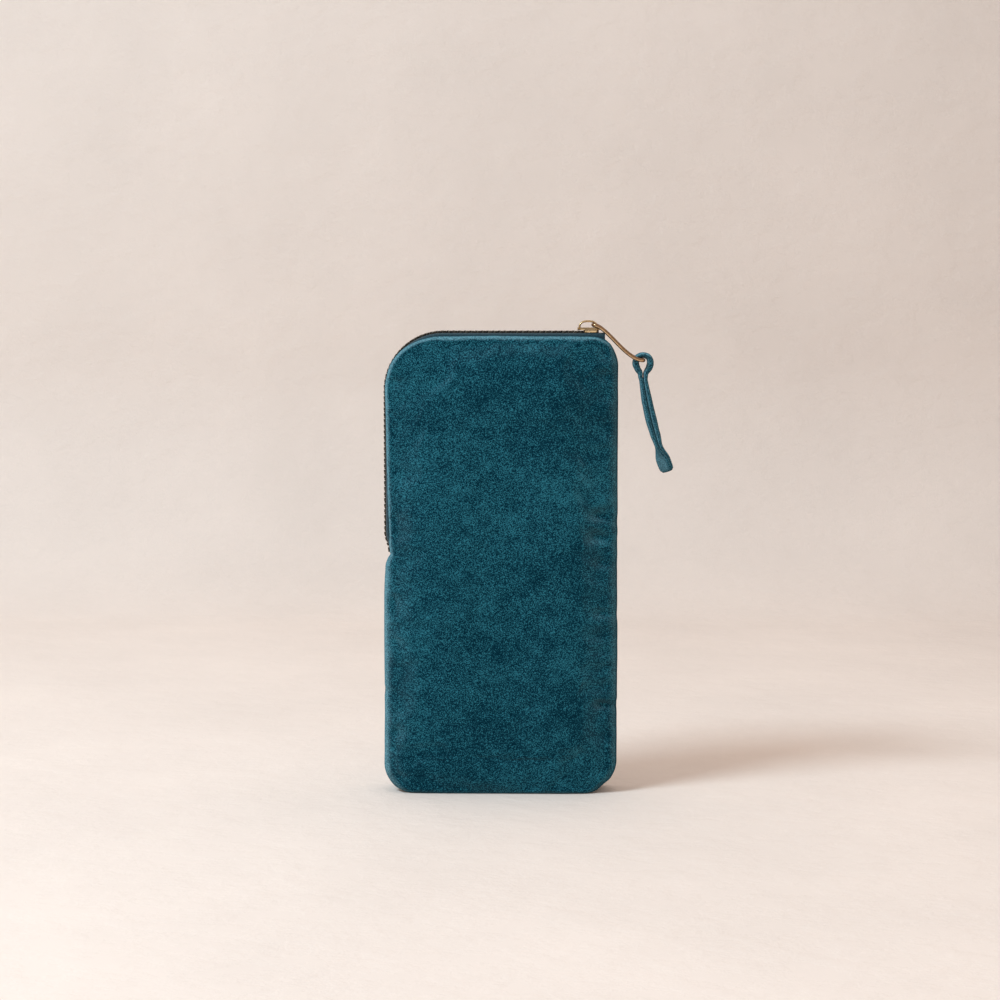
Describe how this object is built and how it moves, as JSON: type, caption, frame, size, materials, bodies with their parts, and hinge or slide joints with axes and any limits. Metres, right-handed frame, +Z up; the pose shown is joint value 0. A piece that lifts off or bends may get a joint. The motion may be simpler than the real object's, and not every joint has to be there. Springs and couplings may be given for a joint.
{
  "type": "glasses case",
  "caption": "Soft padded velvet glasses case with a metal zip round one top corner, a bent wire pull and a ribbon strap.",
  "frame": {"origin": "on the floor under the middle of the case, in the plane of the seam between its two leaves", "axes": "+X to the right as the front shows it, towards the closed end of the zip; +Y to the back; +Z up, away from the base that the case stands on"},
  "size_m": [0.1179, 0.022, 0.1948],
  "materials": {
    "velvet": "dark teal cotton velvet",
    "wadding": "needled polyester wadding",
    "lining_cloth": "plain woven lining",
    "brass": "antique brass zip teeth on woven tape",
    "gold_plated_zinc": "pale gold plating",
    "gold_wire": "bronze gold bent wire",
    "velvet_ribbon": "dark teal velvet ribbon"
  },
  "bodies": {
    "case_body": {"front_panel_lower": "velvet", "front_panel_fold": "velvet", "back_panel": "velvet", "front_wadding_lower": "wadding", "back_wadding": "wadding", "front_lining_lower": "lining_cloth", "back_lining": "lining_cloth", "back_zip_stringer": "brass", "front_top_stop": "brass", "back_top_stop": "brass", "bottom_stop": "brass"},
    "front_flap": {"front_panel_flap": "velvet", "front_wadding_flap": "wadding", "front_lining_flap": "lining_cloth", "front_zip_stringer": "brass"},
    "slider": {"zip_slider": "gold_plated_zinc"},
    "pull": {"pull_wire": "gold_wire"},
    "strap": {"pull_strap": "velvet_ribbon"}
  },
  "joints": [
    {"name": "mouth_open", "type": "hinge", "parent": "case_body", "child": "front_flap", "pos_m": [-0.00205, -0.0095, 0.14095], "axis": [0.7226, 0, 0.6913], "range_deg": [0, 35], "deforming": ["front_panel_fold", "front_zip_stringer", "back_zip_stringer"]},
    {"name": "slider_travel", "type": "slide", "parent": "case_body", "child": "slider", "axis": [-1, 0, 0], "range_m": [0, 0.05]},
    {"name": "pull_swing", "type": "hinge", "parent": "slider", "child": "pull", "pos_m": [0.0378, 0, 0.19285], "axis": [0, -1, 0], "range_deg": [0, 175]},
    {"name": "strap_swing", "type": "hinge", "parent": "pull", "child": "strap", "pos_m": [0.0582, 0, 0.17855], "axis": [0, -1, 0], "range_deg": [-14, 100]}
  ],
  "couplings": [
    {"joint": "pull_swing", "follows": "slider_travel", "rad_per_m": 61.08}
  ]
}
